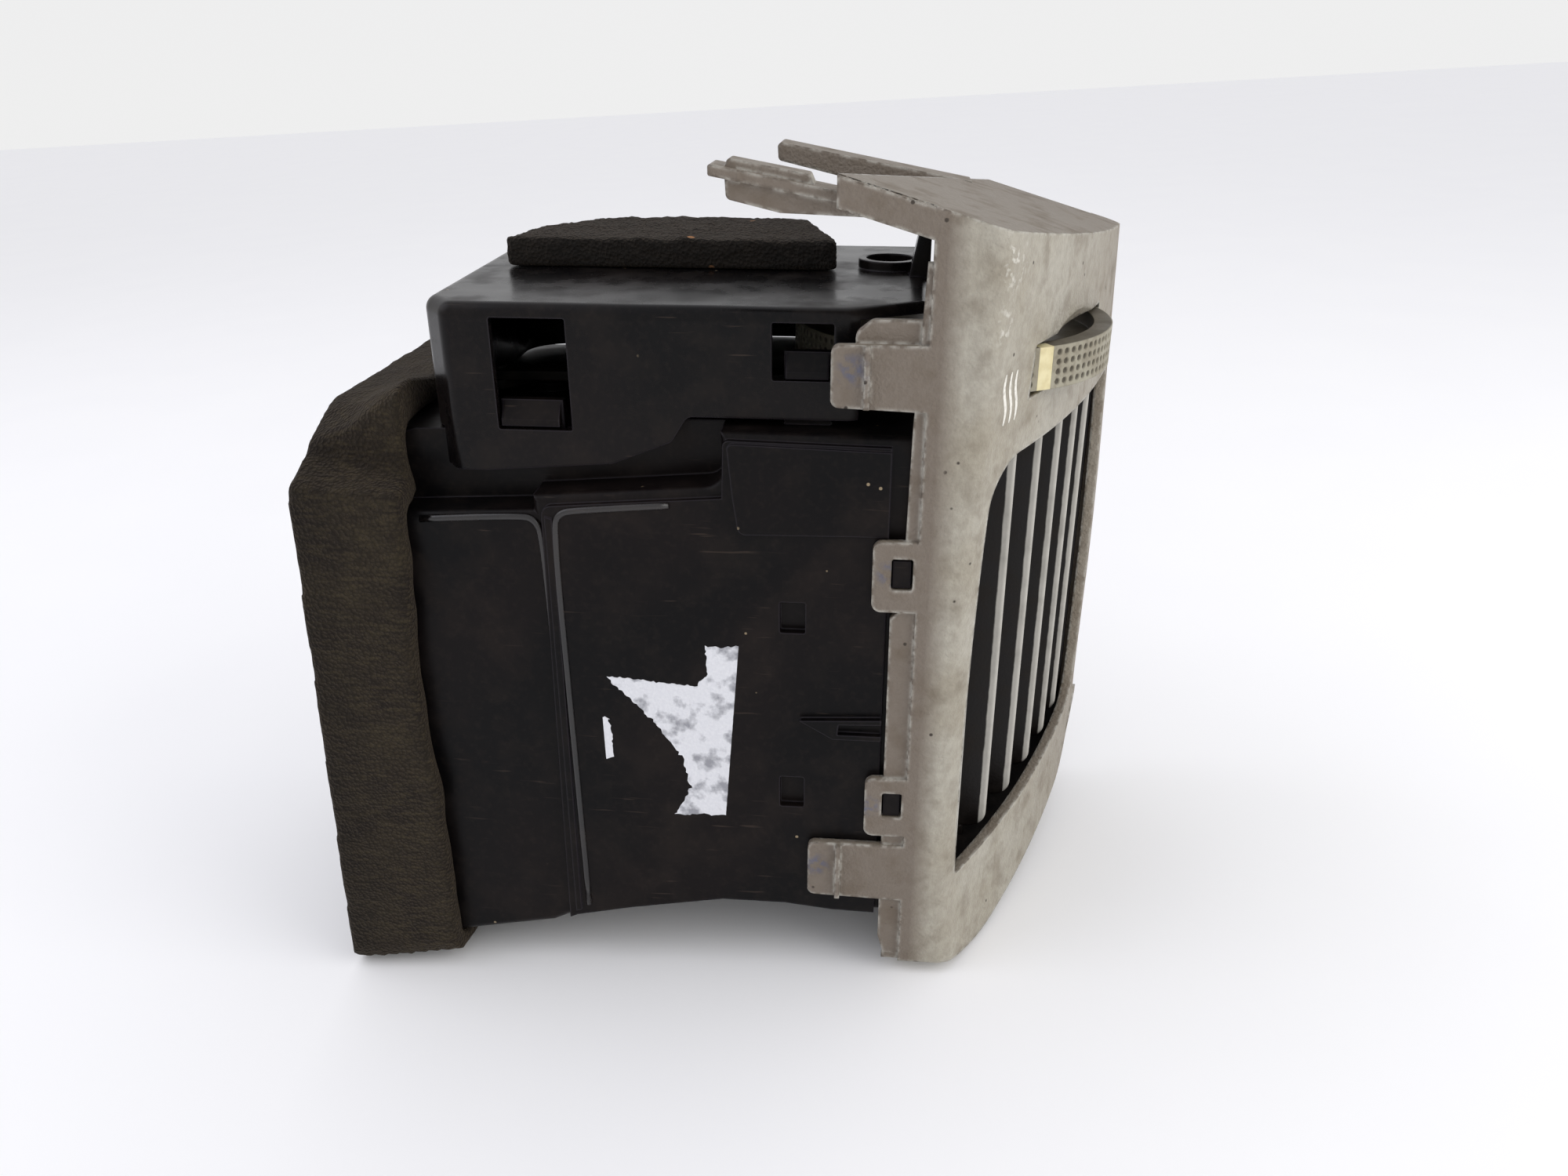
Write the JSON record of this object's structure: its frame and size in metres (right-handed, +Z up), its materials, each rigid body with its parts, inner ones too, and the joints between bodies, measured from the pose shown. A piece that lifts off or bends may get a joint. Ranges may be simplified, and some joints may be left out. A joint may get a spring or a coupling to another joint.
{
  "type": "car dashboard air vent",
  "caption": "Dashboard air vent with a curved bezel, upright and level vanes, a thumbwheel-driven shutter and a foam-sealed duct stub.",
  "frame": {"origin": "centre of the bounding box, on the level surface that the bezel's foot and the foam strip stand on", "axes": "+X from the near (outboard) side to the far side, -Y out through the vane face, +Z up"},
  "size_m": [0.0846, 0.171, 0.1637],
  "materials": {
    "bezel_plastic": "fine-grained satin",
    "duct_plastic": "semi-gloss black",
    "vane_plastic": "satin dark with a light painted nose",
    "wheel_plastic": "dimpled satin",
    "indicator_plastic": "satin cream",
    "foam": "open-cell foam",
    "felt": "pressed felt",
    "steel": "plain",
    "paper": "torn paper"
  },
  "bodies": {
    "housing": {"bezel": "bezel_plastic", "vane_frame": "vane_plastic", "duct": "duct_plastic", "upper_cover": "duct_plastic", "wheel_pin": "steel", "wheel_retainer": "steel", "inlet_foam": "foam", "top_foam_pad": "foam", "paper_label": "paper"},
    "front_vane_1": {"front_vane_1": "vane_plastic"},
    "front_vane_2": {"front_vane_2": "vane_plastic"},
    "front_vane_3": {"front_vane_3": "vane_plastic"},
    "front_vane_4": {"front_vane_4": "vane_plastic"},
    "front_vane_5": {"front_vane_5": "vane_plastic"},
    "front_vane_6": {"front_vane_6": "vane_plastic"},
    "front_vane_link": {"front_vane_link": "vane_plastic"},
    "rear_vane_1": {"rear_vane_1": "vane_plastic"},
    "rear_vane_2": {"rear_vane_2": "vane_plastic"},
    "rear_vane_3": {"rear_vane_3": "vane_plastic"},
    "rear_vane_4": {"rear_vane_4": "vane_plastic"},
    "rear_vane_5": {"rear_vane_5": "vane_plastic"},
    "rear_vane_link": {"rear_vane_link": "vane_plastic"},
    "thumbwheel": {"thumbwheel": "wheel_plastic", "wheel_indicator": "indicator_plastic"},
    "control_rod": {"control_rod": "vane_plastic"},
    "damper": {"damper_flap": "duct_plastic", "damper_shaft": "steel", "damper_crank": "vane_plastic", "damper_felt_front": "felt", "damper_felt_rear": "felt"}
  },
  "joints": [
    {"name": "front_vane_1_turn", "type": "hinge", "parent": "housing", "child": "front_vane_1", "pos_m": [-0.0296, -0.04401, 0.06852], "axis": [0, -0.0562, 0.9984], "range_deg": [-30, 30]},
    {"name": "front_vane_2_turn", "type": "hinge", "parent": "housing", "child": "front_vane_2", "pos_m": [-0.018, -0.05088, 0.06813], "axis": [0, -0.0562, 0.9984], "range_deg": [-30, 30]},
    {"name": "front_vane_3_turn", "type": "hinge", "parent": "housing", "child": "front_vane_3", "pos_m": [-0.0064, -0.05698, 0.06778], "axis": [0, -0.0562, 0.9984], "range_deg": [-30, 30]},
    {"name": "front_vane_4_turn", "type": "hinge", "parent": "housing", "child": "front_vane_4", "pos_m": [0.0052, -0.06236, 0.06748], "axis": [0, -0.0562, 0.9984], "range_deg": [-30, 30]},
    {"name": "front_vane_5_turn", "type": "hinge", "parent": "housing", "child": "front_vane_5", "pos_m": [0.0168, -0.06706, 0.06722], "axis": [0, -0.0562, 0.9984], "range_deg": [-30, 30]},
    {"name": "front_vane_6_turn", "type": "hinge", "parent": "housing", "child": "front_vane_6", "pos_m": [0.0284, -0.07114, 0.06699], "axis": [0, -0.0562, 0.9984], "range_deg": [-30, 30]},
    {"name": "front_link_turn", "type": "hinge", "parent": "front_vane_1", "child": "front_vane_link", "pos_m": [-0.0296, -0.0402, 0.10769], "axis": [0, -0.0562, 0.9984], "range_deg": [-30, 30]},
    {"name": "rear_vane_1_turn", "type": "hinge", "parent": "housing", "child": "rear_vane_1", "pos_m": [0, -0.02246, 0.03267], "axis": [1, 0, 0], "range_deg": [-30, 30]},
    {"name": "rear_vane_2_turn", "type": "hinge", "parent": "housing", "child": "rear_vane_2", "pos_m": [0, -0.02345, 0.05014], "axis": [1, 0, 0], "range_deg": [-30, 30]},
    {"name": "rear_vane_3_turn", "type": "hinge", "parent": "housing", "child": "rear_vane_3", "pos_m": [0, -0.02443, 0.06761], "axis": [1, 0, 0], "range_deg": [-30, 30]},
    {"name": "rear_vane_4_turn", "type": "hinge", "parent": "housing", "child": "rear_vane_4", "pos_m": [0, -0.02541, 0.08509], "axis": [1, 0, 0], "range_deg": [-30, 30]},
    {"name": "rear_vane_5_turn", "type": "hinge", "parent": "housing", "child": "rear_vane_5", "pos_m": [0, -0.0264, 0.10256], "axis": [1, 0, 0], "range_deg": [-30, 30]},
    {"name": "rear_link_turn", "type": "hinge", "parent": "rear_vane_1", "child": "rear_vane_link", "pos_m": [0.0317, -0.01747, 0.03295], "axis": [1, 0, 0], "range_deg": [-30, 30]},
    {"name": "thumbwheel_turn", "type": "hinge", "parent": "housing", "child": "thumbwheel", "pos_m": [0.0022, -0.04731, 0.12542], "axis": [0, -0.0562, 0.9984], "range_deg": [0, 80]},
    {"name": "control_rod_turn", "type": "hinge", "parent": "thumbwheel", "child": "control_rod", "pos_m": [-0.00699, -0.03925, 0.11936], "axis": [0, -0.0562, 0.9984], "range_deg": [-80, 0]},
    {"name": "damper_turn", "type": "hinge", "parent": "housing", "child": "damper", "pos_m": [0, 0.03736, 0.07309], "axis": [0, -0.0562, 0.9984], "range_deg": [0, 80]}
  ],
  "couplings": [
    {"joint": "front_vane_2_turn", "follows": "front_vane_1_turn", "ratio": 1},
    {"joint": "front_vane_3_turn", "follows": "front_vane_1_turn", "ratio": 1},
    {"joint": "front_vane_4_turn", "follows": "front_vane_1_turn", "ratio": 1},
    {"joint": "front_vane_5_turn", "follows": "front_vane_1_turn", "ratio": 1},
    {"joint": "front_vane_6_turn", "follows": "front_vane_1_turn", "ratio": 1},
    {"joint": "front_link_turn", "follows": "front_vane_1_turn", "ratio": -1},
    {"joint": "rear_vane_2_turn", "follows": "rear_vane_1_turn", "ratio": 1},
    {"joint": "rear_vane_3_turn", "follows": "rear_vane_1_turn", "ratio": 1},
    {"joint": "rear_vane_4_turn", "follows": "rear_vane_1_turn", "ratio": 1},
    {"joint": "rear_vane_5_turn", "follows": "rear_vane_1_turn", "ratio": 1},
    {"joint": "rear_link_turn", "follows": "rear_vane_1_turn", "ratio": -1},
    {"joint": "control_rod_turn", "follows": "thumbwheel_turn", "ratio": -1},
    {"joint": "damper_turn", "follows": "thumbwheel_turn", "ratio": 1}
  ]
}
